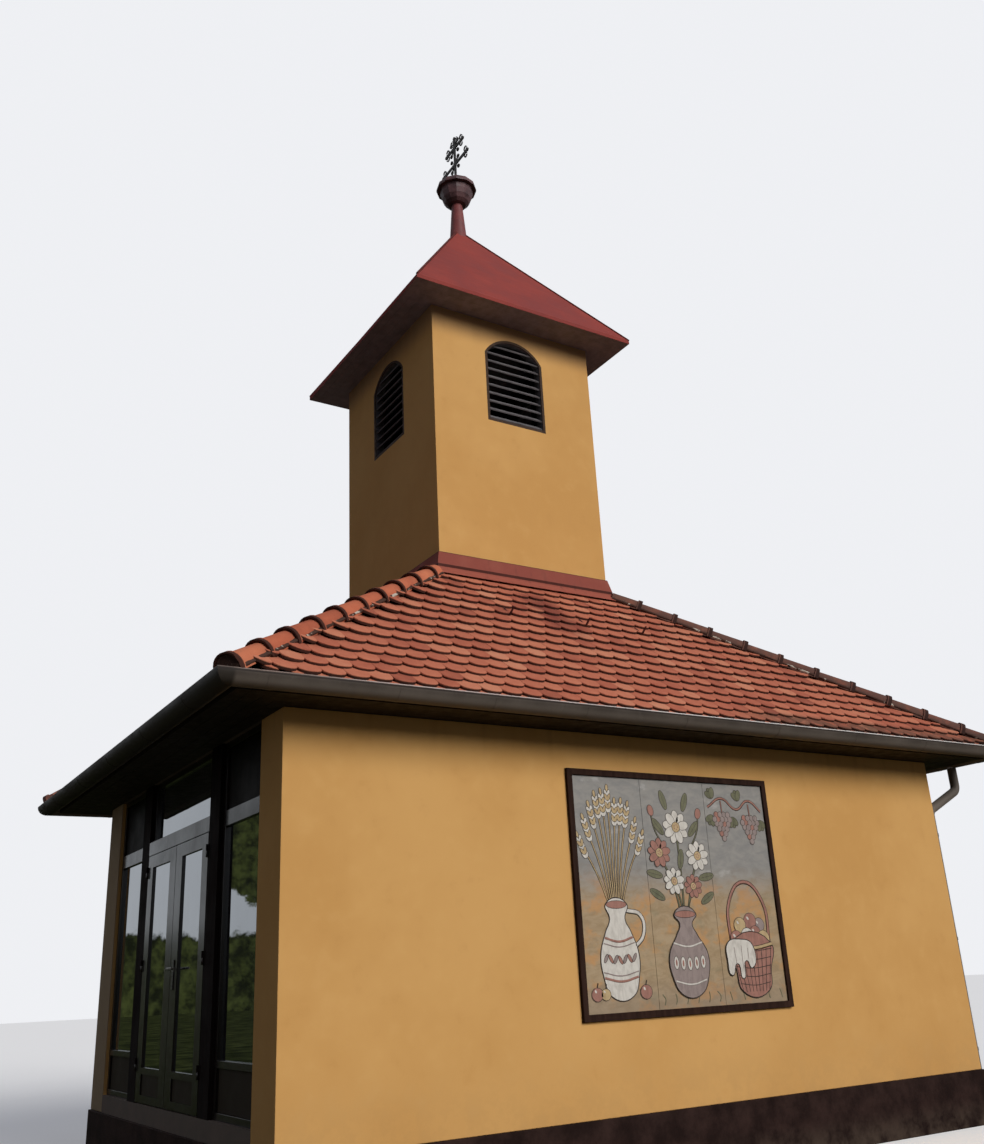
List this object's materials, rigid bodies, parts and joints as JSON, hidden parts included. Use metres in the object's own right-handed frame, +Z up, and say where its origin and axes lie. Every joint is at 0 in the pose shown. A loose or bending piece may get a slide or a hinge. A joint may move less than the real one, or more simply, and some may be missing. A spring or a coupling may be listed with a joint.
{
  "type": "small chapel",
  "caption": "Small rendered chapel with a hipped tile roof, a square louvred bell tower, a ball and cross finial and a glazed double door.",
  "frame": {"origin": "ground level, under the middle of the whole outline", "axes": "+Z up, -Y out of the glazed front, +X out of the wall with the painted boards"},
  "size_m": [5.954, 8.178, 11.5903],
  "materials": {
    "plaster": "ochre lime render, matt, fine grain",
    "plinth": "dark brown base render, matt",
    "concrete": "floated concrete, matt",
    "eaves_board": "dark brown stained boards, satin",
    "gutter": "dark brown coated sheet, satin",
    "flashing": "brown red coated sheet, satin",
    "red_sheet": "red coated sheet, weathered satin",
    "stem_paint": "dark red paint, weathered",
    "ball_paint": "dark red brown paint, weathered",
    "wrought_iron": "black wrought iron, matt",
    "roof_tile": "fired clay plain tile, matt, weathered",
    "hip_tile": "fired clay hip tile, matt, weathered",
    "louvre": "weathered stained wood, matt",
    "dark_frame": "dark brown frame, satin",
    "dark_panel": "dark brown panel, satin",
    "glazing": "double glazing, slightly reflective",
    "handle_steel": "brushed",
    "mural_border": "dark brown painted wood, satin",
    "mural_paint": "painted boards, matt"
  },
  "bodies": {
    "building": {"plinth": "plinth", "floor_slab": "concrete", "left_wall": "plaster", "right_wall": "plaster", "back_wall": "plaster", "ceiling_slab": "concrete", "downpipe": "gutter", "tower_flashing": "flashing", "tower_soffit": "eaves_board", "tower_roof": "red_sheet", "finial_stem": "stem_paint", "finial_ball": "ball_paint", "finial_cross": "wrought_iron", "left_post": "dark_frame", "right_post": "dark_frame", "transom_frame": "dark_frame", "transom_glass": "glazing", "mural_frame": "mural_border", "mural_boards": "mural_paint", "hip_tiles": "hip_tile", "eaves_front": "eaves_board", "gutter_front": "gutter", "roof_front": "roof_tile", "tower_front_wall": "plaster", "tower_front_louvre": "louvre", "eaves_right": "eaves_board", "gutter_right": "gutter", "roof_right": "roof_tile", "tower_right_wall": "plaster", "tower_right_louvre": "louvre", "eaves_back": "eaves_board", "gutter_back": "gutter", "roof_back": "roof_tile", "tower_back_wall": "plaster", "tower_back_louvre": "louvre", "eaves_left": "eaves_board", "gutter_left": "gutter", "roof_left": "roof_tile", "tower_left_wall": "plaster", "tower_left_louvre": "louvre", "left_sidelight_frame": "dark_frame", "left_sidelight_glass": "glazing", "left_sidelight_panels": "dark_panel", "right_sidelight_frame": "dark_frame", "right_sidelight_glass": "glazing", "right_sidelight_panels": "dark_panel"},
    "left_door": {"left_leaf_frame": "dark_frame", "left_leaf_panel": "dark_panel", "left_leaf_glass": "glazing"},
    "right_door": {"right_leaf_frame": "dark_frame", "right_leaf_panel": "dark_panel", "right_leaf_glass": "glazing", "door_handle": "handle_steel"}
  },
  "joints": [
    {"name": "left_door_hinge", "type": "hinge", "parent": "building", "child": "left_door", "pos_m": [-0.87, -3.445, 1.6], "axis": [0, 0, -1], "range_deg": [0, 100]},
    {"name": "right_door_hinge", "type": "hinge", "parent": "building", "child": "right_door", "pos_m": [0.87, -3.445, 1.6], "axis": [0, 0, 1], "range_deg": [0, 100]}
  ]
}
